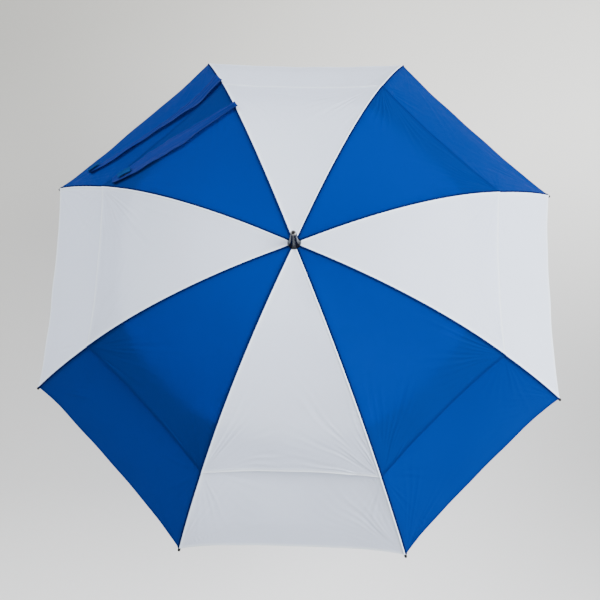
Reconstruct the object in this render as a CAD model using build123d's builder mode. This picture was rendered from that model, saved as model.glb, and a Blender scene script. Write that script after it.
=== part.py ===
"""Double-canopy golf umbrella, open. Millimetres, +Z up along the shaft, origin under the butt cap."""
import os
from math import asin, atan2, cos, degrees, hypot, pi, radians, sin, tan

from build123d import *

os.makedirs("parts", exist_ok=True)

# Driving dimensions
RIBS = 8
HALF_GORE = 180 / RIBS  # degrees between a rib and the middle of the gore beside it
CROWN_Z = 955.0  # height of the rib pivots when the umbrella stands upright
PIVOT_R = 14.0  # radius of the pivot wires in the crown and in the runner

SHAFT_R = 7.0
SHAFT_BORE_R = 6.0
SHAFT_BOTTOM_Z = 20.0
SHAFT_TOP_Z = 990.0

GRIP_R = 17.0
GRIP_BOTTOM_Z = 8.0
GRIP_SHOULDER_Z = 148.0
GRIP_TOP_Z = 165.0

ROD_R = 2.0  # fibreglass rib rod
STRETCHER_R = 1.9
RIB_FLAT_END = 55.0  # the rib leaves the crown level, and starts to curve here
INNER_ARC_R = 650.0
OUTER_ARC_R = 1200.0
ARC_CHANGE = 36.0  # slope in degrees where the gentler outer arc starts
RIB_TIP_R = 660.0
CLIP_R = 351.0  # radius of the clip that joins the stretcher to the rib

RUNNER_OPEN_DROP = 250.0  # from the crown pivots down to the runner pivots, open
SLEEVE_LENGTH = 50.0  # runner sleeve below its pivots

SLIDE_FIT = 0.06  # radial clearance of the runner on the shaft
PIN_FIT = 0.08  # radial clearance of the small pivots
GLUE_FIT = 0.02  # radial gap of parts fixed to each other

FABRIC = 0.6  # thickness of the panels' solids
LOWER_LIFT = 2.8  # from a rib's centre line up to the lower canopy
UPPER_LIFT = 5.2  # from a rib's centre line up to the upper canopy
UPPER_EDGE_R = 485.0  # where the upper canopy's free edge meets the ribs
LOWER_EDGE_R = 400.0  # inner edge of the lower canopy, covered by the upper one
RIM_R = 652.0  # outer edge of the lower canopy at the ribs


def arc_angle(radius):
    """Slope of the rib, in radians, where it is this far from the shaft's axis."""
    change = radians(ARC_CHANGE)
    change_r = RIB_FLAT_END + INNER_ARC_R * sin(change)
    if radius <= change_r:
        return asin(max(0.0, radius - RIB_FLAT_END) / INNER_ARC_R)
    return asin((radius - change_r) / OUTER_ARC_R + sin(change))


def rib_point(slope, lift=0.0):
    """(radius, height from the crown pivots) of the rib's centre line where it has this slope."""
    change = radians(ARC_CHANGE)
    if slope <= change:
        reach = INNER_ARC_R + lift
        return RIB_FLAT_END + reach * sin(slope), reach * cos(slope) - INNER_ARC_R
    reach = OUTER_ARC_R + lift
    centre_r = RIB_FLAT_END + (INNER_ARC_R - OUTER_ARC_R) * sin(change)
    centre_z = -INNER_ARC_R + (INNER_ARC_R - OUTER_ARC_R) * cos(change)
    return centre_r + reach * sin(slope), centre_z + reach * cos(slope)


CLIP_SLOPE = arc_angle(CLIP_R)
TIP_SLOPE = arc_angle(RIB_TIP_R)
KNEE = rib_point(CLIP_SLOPE)  # the rib's flexing point, inside the clip
EYE_R = 2.9
EYE_WIDTH = 3.4  # narrower than the rods, which are pressed flat there
KNEE_EYE_R = 2.8
CLIP_REACH = 3.4  # half-length of the knee gap along the rib
LUG_BACK = 10.0  # stretcher pin, back along the rib from the knee
LUG_DROP = 9.5  # stretcher pin, below the rib's centre line
LUG = (
    KNEE[0] - LUG_BACK * cos(CLIP_SLOPE) - LUG_DROP * sin(CLIP_SLOPE),
    KNEE[1] + LUG_BACK * sin(CLIP_SLOPE) - LUG_DROP * cos(CLIP_SLOPE),
)
CROWN_PIVOT = (PIVOT_R, 0.0)
RUNNER_PIVOT = (PIVOT_R, -RUNNER_OPEN_DROP)
STRETCHER_LENGTH = hypot(LUG[0] - PIVOT_R, LUG[1] + RUNNER_OPEN_DROP)
RUNNER_Z = CROWN_Z - RUNNER_OPEN_DROP


def rib_plane(x, z, angle):
    """A plane at a point of the rib at azimuth 0, with its normal along the rib at this slope."""
    return Plane(
        origin=(x, 0, CROWN_Z + z),
        x_dir=(0, 1, 0),
        z_dir=(cos(angle), 0, -sin(angle)),
    )


def save(solid, name):
    solid.label = name
    export_step(solid, f"parts/{name}.step")


def around(solid, first_azimuth, name):
    """Eight copies about the shaft, each in its own file."""
    for number in range(RIBS):
        azimuth = first_azimuth + number * 360 / RIBS
        save(solid.rotate(Axis.Z, azimuth), f"{name}_{number + 1}")


# Shaft: a tube with two slots for the latches and the holes of their pins
LATCH_WIDTH = 2.0
LATCH_PIN_X = 3.4
LATCH_PIN_R = 1.0
LATCH_PIN_HALF = 5.3  # ends in the shaft's wall
LATCH_LENGTH = 30.0
NOSE_R = 9.6
RUNNER_CLOSED_Z = 252.0
TOP_LATCH_Z = RUNNER_Z - SLEEVE_LENGTH - 0.6 - LATCH_LENGTH
BOTTOM_LATCH_Z = RUNNER_CLOSED_Z - SLEEVE_LENGTH + 52.0

with BuildPart() as shaft:
    with BuildSketch(Plane.XY.offset(SHAFT_BOTTOM_Z)):
        Circle(SHAFT_R)
        Circle(SHAFT_BORE_R, mode=Mode.SUBTRACT)
    extrude(amount=SHAFT_TOP_Z - SHAFT_BOTTOM_Z)
    chamfer(shaft.edges().filter_by(GeomType.CIRCLE).sort_by(Axis.Z)[-2:], 0.3)
    for pin_z, way in ((TOP_LATCH_Z, 1), (BOTTOM_LATCH_Z, -1)):
        slot_middle = pin_z + way * (LATCH_LENGTH / 2 + 3)
        with BuildSketch(Plane.YZ):
            with Locations((0, slot_middle)):
                SlotOverall(LATCH_LENGTH + 2, LATCH_WIDTH + 0.8, rotation=90)
        extrude(amount=SHAFT_R + 1, mode=Mode.SUBTRACT)
        with BuildSketch(Plane.XZ):
            with Locations((LATCH_PIN_X, pin_z)):
                Circle(LATCH_PIN_R + PIN_FIT)
        extrude(amount=SHAFT_R + 1, both=True, mode=Mode.SUBTRACT)
save(shaft.part, "shaft")


def latch(pin_z, way):
    """A sheet-steel catch on a cross pin; its nose stands out through the shaft's slot."""
    nose_z = pin_z + way * LATCH_LENGTH
    with BuildPart() as catch:
        with BuildSketch(Plane.XZ):
            with BuildLine():
                Polyline(
                    (LATCH_PIN_X - 1.8, pin_z - way * 2),
                    (LATCH_PIN_X + 1.6, pin_z - way * 2),
                    (LATCH_PIN_X + 2.0, pin_z + way * 6),
                    (SHAFT_R - 0.6, pin_z + way * 9),
                    (NOSE_R, nose_z - way * 3),
                    (NOSE_R, nose_z),
                    (SHAFT_BORE_R - 1.0, nose_z),
                    (LATCH_PIN_X - 0.6, nose_z - way * 6),
                    close=True,
                )
            make_face()
        extrude(amount=LATCH_WIDTH / 2, both=True)
        with BuildSketch(Plane.XZ):
            with Locations((LATCH_PIN_X, pin_z)):
                Circle(LATCH_PIN_R)
        extrude(amount=LATCH_PIN_HALF, both=True)
    return catch.part


save(latch(TOP_LATCH_Z, 1), "top_latch")
save(latch(BOTTOM_LATCH_Z, -1), "bottom_latch")

# Grip: a straight soft handle with shallow grooves in its upper half, and a cap under it
with BuildPart() as grip:
    with BuildSketch(Plane.XZ):
        with BuildLine():
            Polyline(
                (0, GRIP_BOTTOM_Z),
                (GRIP_R, GRIP_BOTTOM_Z),
                (GRIP_R, GRIP_SHOULDER_Z),
            )
            TangentArc(
                (GRIP_R, GRIP_SHOULDER_Z), (SHAFT_R + 3.5, GRIP_TOP_Z), tangent=(0, 1)
            )
            Polyline((SHAFT_R + 3.5, GRIP_TOP_Z), (0, GRIP_TOP_Z), (0, GRIP_BOTTOM_Z))
        make_face()
    revolve(axis=Axis.Z)
    with BuildSketch(Plane.XY.offset(SHAFT_BOTTOM_Z)):
        Circle(SHAFT_R + GLUE_FIT)
    extrude(amount=GRIP_TOP_Z, mode=Mode.SUBTRACT)
    with BuildSketch(Plane.XY.offset(GRIP_BOTTOM_Z)):
        Circle(SHAFT_BORE_R)
    extrude(amount=SHAFT_BOTTOM_Z - GRIP_BOTTOM_Z, mode=Mode.SUBTRACT)
save(grip.part, "grip")

with BuildPart() as butt_cap:
    with BuildSketch(Plane.XY):
        Circle(GRIP_R - 0.6)
    extrude(amount=GRIP_BOTTOM_Z)
    fillet(butt_cap.edges().sort_by(Axis.Z)[0], 2.5)
    with BuildSketch(Plane.XY.offset(GRIP_BOTTOM_Z)):
        Circle(SHAFT_BORE_R - GLUE_FIT)
    extrude(amount=10)
save(butt_cap.part, "butt_cap")


def pivot_ring(height, wire_r):
    """A wire bent to an octagon, whose straight sides pass through the eyes."""
    corner_r = PIVOT_R / cos(radians(HALF_GORE))
    corners = [
        Vector(corner_r * cos(k * 2 * pi / RIBS), corner_r * sin(k * 2 * pi / RIBS), height)
        for k in range(RIBS)
    ]
    with BuildPart() as ring:
        with BuildLine() as path:
            FilletPolyline(*corners, radius=2.0, close=True)
        side = corners[1] - corners[0]
        middle = (corners[0] + corners[1]) * 0.5
        with BuildSketch(Plane(origin=middle, z_dir=side)):
            Circle(wire_r)
        sweep(path=path.wires()[0])
    return ring.part


WIRE_R = 0.7
SLOT_WIDTH = 4.6
SLOT_INNER_R = 10.6


def slotted_collar(outer_r, bottom, top, slot_bottom, slot_top, pivot_z, bore_r):
    """A ring with a radial slot for each rib, and a channel for the pivot wire."""
    with BuildPart() as collar:
        with BuildSketch(Plane.XY.offset(bottom)):
            Circle(outer_r)
        extrude(amount=top - bottom)
        chamfer(collar.edges(), 0.6)
        with BuildSketch(Plane.XY.offset(bottom)):
            Circle(bore_r)
        extrude(amount=top - bottom, mode=Mode.SUBTRACT)
        with BuildSketch(Plane.XY.offset(slot_bottom)):
            with PolarLocations(SLOT_INNER_R + 10, RIBS, start_angle=HALF_GORE):
                Rectangle(20, SLOT_WIDTH)
        extrude(amount=slot_top - slot_bottom, mode=Mode.SUBTRACT)
        add(pivot_ring(pivot_z, WIRE_R + PIN_FIT), mode=Mode.SUBTRACT)
    return collar.part


CROWN_TOP = 4.4
crown = slotted_collar(
    18.0,
    CROWN_Z - 6.0,
    CROWN_Z + CROWN_TOP,
    CROWN_Z - 7.0,
    CROWN_Z + EYE_R + 0.4,
    CROWN_Z,
    SHAFT_R + GLUE_FIT,
)
save(crown, "crown")
save(pivot_ring(CROWN_Z, WIRE_R), "crown_wire")

# Runner: notched collar on a long sleeve, with a keyway that clears both latches
KEYWAY_R = NOSE_R + 0.4
with BuildPart() as runner:
    add(
        slotted_collar(
            18.0,
            RUNNER_Z - 5.5,
            RUNNER_Z + 5.5,
            RUNNER_Z - EYE_R - 0.4,
            RUNNER_Z + 6.0,
            RUNNER_Z,
            SHAFT_R + SLIDE_FIT,
        )
    )
    with BuildSketch(Plane.XZ):
        with BuildLine():
            Polyline(
                (SHAFT_R + SLIDE_FIT, RUNNER_Z - 5.5),
                (12.6, RUNNER_Z - 5.5),
                (12.0, RUNNER_Z - SLEEVE_LENGTH + 12),
                (15.5, RUNNER_Z - SLEEVE_LENGTH + 5),
                (15.5, RUNNER_Z - SLEEVE_LENGTH + 1),
                (14.5, RUNNER_Z - SLEEVE_LENGTH),
                (SHAFT_R + SLIDE_FIT, RUNNER_Z - SLEEVE_LENGTH),
                close=True,
            )
        make_face()
    revolve(axis=Axis.Z)
    with BuildSketch(Plane.XY.offset(RUNNER_Z - SLEEVE_LENGTH)):
        with Locations((KEYWAY_R / 2, 0)):
            Rectangle(KEYWAY_R, LATCH_WIDTH + 1.0)
    extrude(amount=SLEEVE_LENGTH + 6, mode=Mode.SUBTRACT)
save(runner.part, "runner")
save(pivot_ring(RUNNER_Z, WIRE_R), "runner_wire")


def cross_disc(place, radius, width=20.0):
    """A round boss, or the tool for a hole, across the plane of a rib."""
    with BuildPart() as disc:
        with BuildSketch(Plane.XZ):
            with Locations((place[0], CROWN_Z + place[1])):
                Circle(radius)
        extrude(amount=width / 2, both=True)
    return disc.part


# Inner length of a rib: an eye at the crown, a straight start and a bent rod
ROD_END_SLOPE = CLIP_SLOPE - CLIP_REACH / INNER_ARC_R
with BuildPart() as rib_inner:
    add(cross_disc(CROWN_PIVOT, EYE_R, EYE_WIDTH))
    with BuildLine(Plane.XZ) as inner_path:
        Line((PIVOT_R, CROWN_Z), (RIB_FLAT_END, CROWN_Z))
        CenterArc(
            (RIB_FLAT_END, CROWN_Z - INNER_ARC_R),
            INNER_ARC_R,
            90,
            -degrees(ROD_END_SLOPE),
        )
    with BuildSketch(rib_plane(PIVOT_R, 0, 0)):
        Circle(ROD_R)
    sweep(path=inner_path.wires()[0])
    add(cross_disc(CROWN_PIVOT, WIRE_R + PIN_FIT), mode=Mode.SUBTRACT)

# Clip crimped on the end of the inner length: two cheeks with a pin for the outer length
# and a pin for the stretcher
CHEEK_IN = 2.15
CHEEK_OUT = 3.3
SLEEVE_FROM = 17.0
PIN_R = 0.95


def along_rib(back, drop):
    """A point near the clip, measured back along the rib from the knee and below it."""
    return (
        KNEE[0] - back * cos(CLIP_SLOPE) - drop * sin(CLIP_SLOPE),
        CROWN_Z + KNEE[1] + back * sin(CLIP_SLOPE) - drop * cos(CLIP_SLOPE),
    )


with BuildPart() as rib_clip:
    with BuildSketch(Plane.XZ):
        with BuildLine():
            Polyline(
                along_rib(SLEEVE_FROM, -3.3),
                along_rib(-1.0, -3.3),
                along_rib(-3.2, 0.0),
                along_rib(-1.0, 3.0),
                along_rib(LUG_BACK - 3.0, LUG_DROP + 2.0),
                along_rib(LUG_BACK + 3.0, LUG_DROP + 2.0),
                along_rib(SLEEVE_FROM, 3.3),
                close=True,
            )
        make_face()
    extrude(amount=CHEEK_OUT, both=True)
    with BuildSketch(Plane.XZ):
        with BuildLine():
            Polyline(
                along_rib(CLIP_REACH + 0.2, -4.0),
                along_rib(-6.0, -4.0),
                along_rib(-6.0, LUG_DROP + 4.0),
                along_rib(SLEEVE_FROM + 3, LUG_DROP + 4.0),
                along_rib(SLEEVE_FROM + 3, 3.4),
                along_rib(CLIP_REACH + 0.2, 3.4),
                close=True,
            )
        make_face()
    extrude(amount=CHEEK_IN, both=True, mode=Mode.SUBTRACT)
    with BuildLine(Plane.XZ) as bore_path:
        CenterArc(
            (RIB_FLAT_END, CROWN_Z - INNER_ARC_R),
            INNER_ARC_R,
            90 - degrees(CLIP_SLOPE),
            degrees((SLEEVE_FROM + 4) / INNER_ARC_R),
        )
    with BuildSketch(rib_plane(KNEE[0], KNEE[1], CLIP_SLOPE)):
        Circle(ROD_R + GLUE_FIT)
    sweep(path=bore_path.wires()[0], mode=Mode.SUBTRACT)
    for back, drop in ((0, 0), (LUG_BACK, LUG_DROP)):
        with BuildSketch(Plane.XZ):
            with Locations(along_rib(back, drop)):
                Circle(PIN_R)
        extrude(amount=CHEEK_OUT + 0.5, both=True)

# Outer length of a rib: an eye at the knee, and the gentler arc to the tip
CHANGE = radians(ARC_CHANGE)
CHANGE_POINT = rib_point(CHANGE)
with BuildPart() as rib_outer:
    add(cross_disc(KNEE, KNEE_EYE_R, EYE_WIDTH))
    with BuildLine(Plane.XZ) as outer_path:
        CenterArc(
            (RIB_FLAT_END, CROWN_Z - INNER_ARC_R),
            INNER_ARC_R,
            90 - degrees(CLIP_SLOPE),
            degrees(CLIP_SLOPE) - ARC_CHANGE,
        )
        CenterArc(
            (
                CHANGE_POINT[0] - OUTER_ARC_R * sin(CHANGE),
                CROWN_Z + CHANGE_POINT[1] - OUTER_ARC_R * cos(CHANGE),
            ),
            OUTER_ARC_R,
            90 - ARC_CHANGE,
            ARC_CHANGE - degrees(TIP_SLOPE),
        )
    with BuildSketch(rib_plane(KNEE[0], KNEE[1], CLIP_SLOPE)):
        Circle(ROD_R)
    sweep(path=outer_path.wires()[0])
    add(cross_disc(KNEE, PIN_R + PIN_FIT), mode=Mode.SUBTRACT)

# Cap on a rib's end: a rounded plastic thimble, glued on
CAP_R = 3.2
CAP_LENGTH = 14.0
CAP_OVER = 7.0  # how much of the rod it covers
TIP = rib_point(TIP_SLOPE)
with BuildPart() as rib_tip:
    with BuildSketch(
        rib_plane(
            TIP[0] - CAP_OVER * cos(TIP_SLOPE), TIP[1] + CAP_OVER * sin(TIP_SLOPE), TIP_SLOPE
        )
    ):
        Circle(CAP_R)
    extrude(amount=CAP_LENGTH)
    fillet(rib_tip.edges().filter_by(GeomType.CIRCLE).sort_by(Axis.Z)[0], 2.4)
    fillet(rib_tip.edges().filter_by(GeomType.CIRCLE).sort_by(Axis.Z)[-1], 0.5)
    with BuildSketch(
        rib_plane(
            TIP[0] - (CAP_OVER + 1) * cos(TIP_SLOPE),
            TIP[1] + (CAP_OVER + 1) * sin(TIP_SLOPE),
            TIP_SLOPE,
        )
    ):
        Circle(ROD_R + 0.1)
    extrude(amount=CAP_OVER + 1.05, mode=Mode.SUBTRACT)

# Stretcher: a rod with an eye at each end, from the clip's lug to the runner
STRETCHER_ANGLE = atan2(LUG[1] + RUNNER_OPEN_DROP, LUG[0] - PIVOT_R)
with BuildPart() as stretcher:
    add(cross_disc(RUNNER_PIVOT, EYE_R, EYE_WIDTH))
    add(cross_disc(LUG, EYE_R, EYE_WIDTH))
    with BuildSketch(rib_plane(RUNNER_PIVOT[0], RUNNER_PIVOT[1], -STRETCHER_ANGLE)):
        Circle(STRETCHER_R)
    extrude(amount=STRETCHER_LENGTH)
    add(cross_disc(RUNNER_PIVOT, WIRE_R + 0.4), mode=Mode.SUBTRACT)
    add(cross_disc(LUG, PIN_R + PIN_FIT), mode=Mode.SUBTRACT)

around(Compound([rib_inner.part.solid(), rib_clip.part.solid()]), HALF_GORE, "rib_inner")
around(rib_outer.part, HALF_GORE, "rib_outer")
around(rib_tip.part, HALF_GORE, "rib_tip")
around(stretcher.part, HALF_GORE, "stretcher")

# Canopy panels: a gore is straight from rib to rib, and curved only from the crown to the rim
SEAM_GAP = 0.2


def panel(start_r, end_r, lift):
    """One gore's cloth at azimuth 0, as a thin shell following the ribs at this lift."""
    steps = 10
    first, last = arc_angle(start_r), arc_angle(end_r)
    slopes = [first + (last - first) * k / steps for k in range(steps + 1)]
    flat = cos(radians(HALF_GORE))
    faces = []
    for height in (lift, lift + FABRIC):
        curve = [rib_point(s, height) for s in slopes]
        faces.append([(r * flat, CROWN_Z + z) for r, z in curve])
    under, over = faces
    with BuildPart() as cloth:
        with BuildSketch(Plane.XZ):
            with BuildLine():
                Spline(*under)
                Spline(*over)
                if start_r < RIB_FLAT_END:
                    inner_edge = start_r * flat
                    Line(under[0], (inner_edge, under[0][1]))
                    Line((inner_edge, under[0][1]), (inner_edge, over[0][1]))
                    Line((inner_edge, over[0][1]), over[0])
                else:
                    Line(under[0], over[0])
                Line(under[-1], over[-1])
            make_face()
        extrude(amount=end_r * sin(radians(HALF_GORE)), both=True)
        with BuildSketch(Plane.XY.offset(CROWN_Z - 450)):
            with BuildLine():
                near = SEAM_GAP / sin(radians(HALF_GORE))
                side = (800 - near) * tan(radians(HALF_GORE))
                Polyline((near, 0), (800, side), (800, -side), close=True)
            make_face()
        extrude(amount=500, mode=Mode.INTERSECT)
    return cloth.part


around(panel(9.0, UPPER_EDGE_R, UPPER_LIFT), 0, "upper_gore")
around(panel(LOWER_EDGE_R, RIM_R, LOWER_LIFT), 0, "lower_gore")

# Two closure straps sewn to the seam of one blue gore, lying across it
STRAP_LIFT = 6.6
STRAP_AZIMUTH = 135.0
STRAP_OUTLINES = {
    "rim": ((590, -232), (500, -195), (480, -90), (490, 20), (530, 120), (545, 168), (590, 160)),
    "vent": ((455, -178), (352, -138), (362, -60), (385, 40), (405, 120), (428, 165), (450, 150)),
}
strap_solids = []
for outline in STRAP_OUTLINES.values():
    with BuildPart() as strap:
        add(panel(LOWER_EDGE_R - 60, RIM_R, STRAP_LIFT))
        with BuildSketch(Plane.XY.offset(CROWN_Z - 450)):
            with BuildLine():
                Polyline(*outline, close=True)
            make_face()
        extrude(amount=500, mode=Mode.INTERSECT)
    strap_solids.append(strap.part.solid().rotate(Axis.Z, STRAP_AZIMUTH))
save(Compound(strap_solids), "closure_straps")

# Ferrule: a bell over the crown that clamps the canopy, and a metal post through it
CAP_BASE_Z = CROWN_Z + UPPER_LIFT + FABRIC + 0.3
FERRULE_TOP_Z = CROWN_Z + 61.0
POST_R = 4.0
with BuildPart() as ferrule_cap:
    with BuildSketch(Plane.XZ):
        with BuildLine():
            Line((0, CAP_BASE_Z), (14.0, CAP_BASE_Z))
            Line((14.0, CAP_BASE_Z), (14.0, CAP_BASE_Z + 2.0))
            ThreePointArc(
                (14.0, CAP_BASE_Z + 2.0),
                (11.4, CAP_BASE_Z + 8.5),
                (9.6, CAP_BASE_Z + 16.0),
            )
            Line((9.6, CAP_BASE_Z + 16.0), (6.4, FERRULE_TOP_Z))
            Line((6.4, FERRULE_TOP_Z), (0, FERRULE_TOP_Z))
            Line((0, FERRULE_TOP_Z), (0, CAP_BASE_Z))
        make_face()
    revolve(axis=Axis.Z)
    fillet(ferrule_cap.edges().filter_by(GeomType.CIRCLE).sort_by(Axis.Z)[0], 1.0)
    with BuildSketch(Plane.XY.offset(CAP_BASE_Z)):
        Circle(SHAFT_R + GLUE_FIT)
    extrude(amount=SHAFT_TOP_Z + 0.3 - CAP_BASE_Z, mode=Mode.SUBTRACT)
    with BuildSketch(Plane.XY.offset(CAP_BASE_Z)):
        Circle(POST_R + GLUE_FIT)
    extrude(amount=FERRULE_TOP_Z - CAP_BASE_Z, mode=Mode.SUBTRACT)
save(ferrule_cap.part, "ferrule_cap")

with BuildPart() as ferrule_tip:
    with BuildSketch(Plane.XY.offset(CROWN_Z + 10)):
        Circle(SHAFT_BORE_R - GLUE_FIT)
    extrude(amount=SHAFT_TOP_Z - CROWN_Z - 10)
    with BuildSketch(Plane.XY.offset(SHAFT_TOP_Z)):
        Circle(POST_R)
    extrude(amount=FERRULE_TOP_Z - SHAFT_TOP_Z)
    with BuildSketch(Plane.XY.offset(FERRULE_TOP_Z)):
        Circle(5.8)
    extrude(amount=6.0)
    fillet(ferrule_tip.edges().filter_by(GeomType.CIRCLE).sort_by(Axis.Z)[-1], 2.0)
save(ferrule_tip.part, "ferrule_tip")
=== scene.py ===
"""Golf umbrella: cloth, seams, straps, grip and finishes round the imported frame, in metres."""
import math

import bmesh
import bpy
import numpy as np
from mathutils import Matrix, Vector


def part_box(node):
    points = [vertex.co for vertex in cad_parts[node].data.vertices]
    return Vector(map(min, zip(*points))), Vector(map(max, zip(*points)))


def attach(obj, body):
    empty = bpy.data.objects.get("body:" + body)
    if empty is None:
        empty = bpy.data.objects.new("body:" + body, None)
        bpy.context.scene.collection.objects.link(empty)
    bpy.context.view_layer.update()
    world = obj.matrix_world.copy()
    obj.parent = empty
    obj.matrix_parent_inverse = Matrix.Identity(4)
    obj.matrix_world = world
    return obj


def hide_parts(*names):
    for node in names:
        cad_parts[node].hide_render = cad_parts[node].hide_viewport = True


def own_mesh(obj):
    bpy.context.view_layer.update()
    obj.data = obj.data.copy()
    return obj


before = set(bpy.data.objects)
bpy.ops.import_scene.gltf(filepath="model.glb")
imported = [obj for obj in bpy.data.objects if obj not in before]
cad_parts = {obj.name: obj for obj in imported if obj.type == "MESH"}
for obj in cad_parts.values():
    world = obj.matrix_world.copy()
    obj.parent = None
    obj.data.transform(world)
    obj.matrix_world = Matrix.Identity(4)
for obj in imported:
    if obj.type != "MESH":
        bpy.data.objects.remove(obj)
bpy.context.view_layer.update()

MM = 0.001
RIBS = 8
HALF = math.pi / RIBS  # angle from a rib to the middle of the gore beside it

# The rib's curve, as the CAD frame has it
CROWN_Z = sum(corner.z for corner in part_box("crown_wire")) / 2
FLAT_END = 55 * MM
INNER_ARC = 650 * MM
OUTER_ARC = 1200 * MM
CHANGE = math.radians(36)
CHANGE_R = FLAT_END + INNER_ARC * math.sin(CHANGE)

# The cloth. Lifts stand off the rib's line. Radii are taken at the ribs, seen from above, and a
# scallop is how much further in the edge is at the middle of a gore.
CLOTH = 0.45 * MM
UPPER_LIFT = 5.5 * MM
LOWER_LIFT = 3.1 * MM
NECK_R = 14 * MM  # the upper canopy's edge at the crown
KNEE_R = 351 * MM  # where the ribs fold
VENT_R = 489 * MM  # the upper canopy's hem
VENT_SCALLOP = 6 * MM
HIDDEN_R = 388 * MM  # the lower canopy's top edge, under the upper canopy
HIDDEN_SCALLOP = -26 * MM
RIM_R = 656 * MM  # the lower canopy's hem
RIM_SCALLOP = 9 * MM
BOW = 2.5  # power of the curve that the vent's hem and the hidden edge follow between the ribs
RIM_BOW = 6  # a higher power is straighter in the middle
# How far a gore's middle hangs in, as a share of its half-width, at these distances from the shaft
UPPER_SAG = ((0, 0.05), (0.3, 0.045), (0.489, 0.018))
LOWER_SAG = ((0.388, 0.17), (0.489, 0.09), (0.6, 0.03), (0.66, 0.014))
UPPER_KEEP = 0.11  # share of its width that a panel keeps when the umbrella is closed
LOWER_KEEP = 0.075

# Sewing. Hem widths and the row of stitches are measured from a free edge, the others from a seam.
HEM_WIDTH = 9.0 * MM
HEM_FOLD = 5.6 * MM  # the end of the turned-in cloth, which shows through as a line
STITCH_ROW = 7.0 * MM
STITCH_LENGTH = 2.6 * MM
SEAM_WIDTH = 3.4 * MM
GATHER_REACH = 7 * MM  # where the gathers are highest
GATHER_HEIGHT = 0.2 * MM
GATHER_PITCH = 15 * MM
WEAVE = 0.55 * MM  # pitch of the threads

# Tension folds: their height, how far from a corner they are highest, and how many of them would
# fit in a full turn round it
UPPER_FOLDS = 1.15 * MM
LOWER_FOLDS = 0.85 * MM
HEM_REACH = 0.052
HEM_FAN = 46
VENT_REACH = 0.04
VENT_FAN = 40
VENT_SHARE = 0.7  # height of the folds under the vent, as a share of those at the rim
RELIEF = 0.6 * MM  # height of the cloth's broad unevenness
SWAY = 0.4 * MM  # and of the waves along its hem


# ---------------------------------------------------------------- surface of the canopy
def rib_slope(r):
    """Slope of the rib where it is this far from the axis."""
    inner = np.arcsin(np.clip((r - FLAT_END) / INNER_ARC, 0, 1))
    outer = np.arcsin(np.clip((r - CHANGE_R) / OUTER_ARC + math.sin(CHANGE), 0, 1))
    return np.where(r <= CHANGE_R, inner, outer)


def rib_curve(r, lift):
    """(radius, height) of the line that follows the rib at this lift."""
    slope = rib_slope(r)
    gap = INNER_ARC - OUTER_ARC
    inner = slope <= CHANGE
    radius = np.where(
        inner,
        FLAT_END + (INNER_ARC + lift) * np.sin(slope),
        FLAT_END + gap * math.sin(CHANGE) + (OUTER_ARC + lift) * np.sin(slope),
    )
    height = np.where(
        inner,
        (INNER_ARC + lift) * np.cos(slope) - INNER_ARC,
        gap * math.cos(CHANGE) - INNER_ARC + (OUTER_ARC + lift) * np.cos(slope),
    )
    radius = np.where(r < FLAT_END, r, radius)
    return radius, CROWN_Z + height


def gore_point(number, r, u, upper, rise):
    """Points of a gore: r along the ribs, u across from the gore's middle, and rise outward."""
    lift = UPPER_LIFT if upper else LOWER_LIFT
    slope = rib_slope(r)
    radius, z = rib_curve(r, lift)
    half = radius * math.sin(HALF)
    v = u / half
    sag = np.interp(r, *zip(*(UPPER_SAG if upper else LOWER_SAG)))
    nx, nz = np.sin(slope), math.cos(HALF) * np.cos(slope)
    out = (rise - sag * half * (1 - v * v)) / np.hypot(nx, nz)
    d = radius * math.cos(HALF) + nx * out
    azimuth = (number - 1) * 2 * HALF
    ca, sa = math.cos(azimuth), math.sin(azimuth)
    return np.stack([d * ca - u * sa, d * sa + u * ca, z + nz * out], axis=-1)


def half_width(r, lift):
    """From the middle of a gore to its seam."""
    return rib_curve(r, lift)[0] * math.sin(HALF)


def fold_with_gore(obj, body, number):
    """The piece rides this body, on a mesh of its own."""
    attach(obj, f"{body}_{number}")
    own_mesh(obj)


# ---------------------------------------------------------------- meshes
def make_object(name, points, faces, uv=None, values=None, sharp=50):
    """A smooth mesh object, with optional UVs and named numbers for each point."""
    mesh = bpy.data.meshes.new(name)
    mesh.from_pydata([tuple(p) for p in points], [], faces)
    mesh.update()
    mesh.shade_smooth()
    mesh.set_sharp_from_angle(angle=math.radians(sharp))
    if uv is not None:
        layer = mesh.uv_layers.new(name="cloth")
        loops = np.zeros(len(mesh.loops), dtype=np.int32)
        mesh.loops.foreach_get("vertex_index", loops)
        layer.data.foreach_set("uv", np.asarray(uv, np.float32)[loops].ravel())
    for key, numbers in (values or {}).items():
        attribute = mesh.attributes.new(key, "FLOAT", "POINT")
        attribute.data.foreach_set("value", np.asarray(numbers, np.float32))
    obj = bpy.data.objects.new(name, mesh)
    bpy.context.scene.collection.objects.link(obj)
    return obj


def shell(name, top, bottom, uv, values=None):
    """A thin closed shell between two grids of points."""
    n, m = top.shape[:2]
    points = np.concatenate([top.reshape(-1, 3), bottom.reshape(-1, 3)])
    index = np.arange(n * m).reshape(n, m)
    under = index + n * m
    a, b, c, d = index[:-1, :-1], index[1:, :-1], index[1:, 1:], index[:-1, 1:]
    faces = np.stack([a, b, c, d], -1).reshape(-1, 4).tolist()
    e, f, g, h = under[:-1, :-1], under[:-1, 1:], under[1:, 1:], under[1:, :-1]
    faces += np.stack([e, f, g, h], -1).reshape(-1, 4).tolist()
    border = np.concatenate([index[0, :], index[1:, -1], index[-1, -2::-1], index[-2:0:-1, 0]])
    following = np.roll(border, -1)
    walls = np.stack([border, following, following + n * m, border + n * m], -1)
    faces += walls.tolist()
    flat_uv = uv.reshape(-1, 2)
    both = {key: np.tile(numbers.ravel(), 2) for key, numbers in (values or {}).items()}
    return make_object(name, points, faces, np.concatenate([flat_uv, flat_uv]), both)


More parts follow.
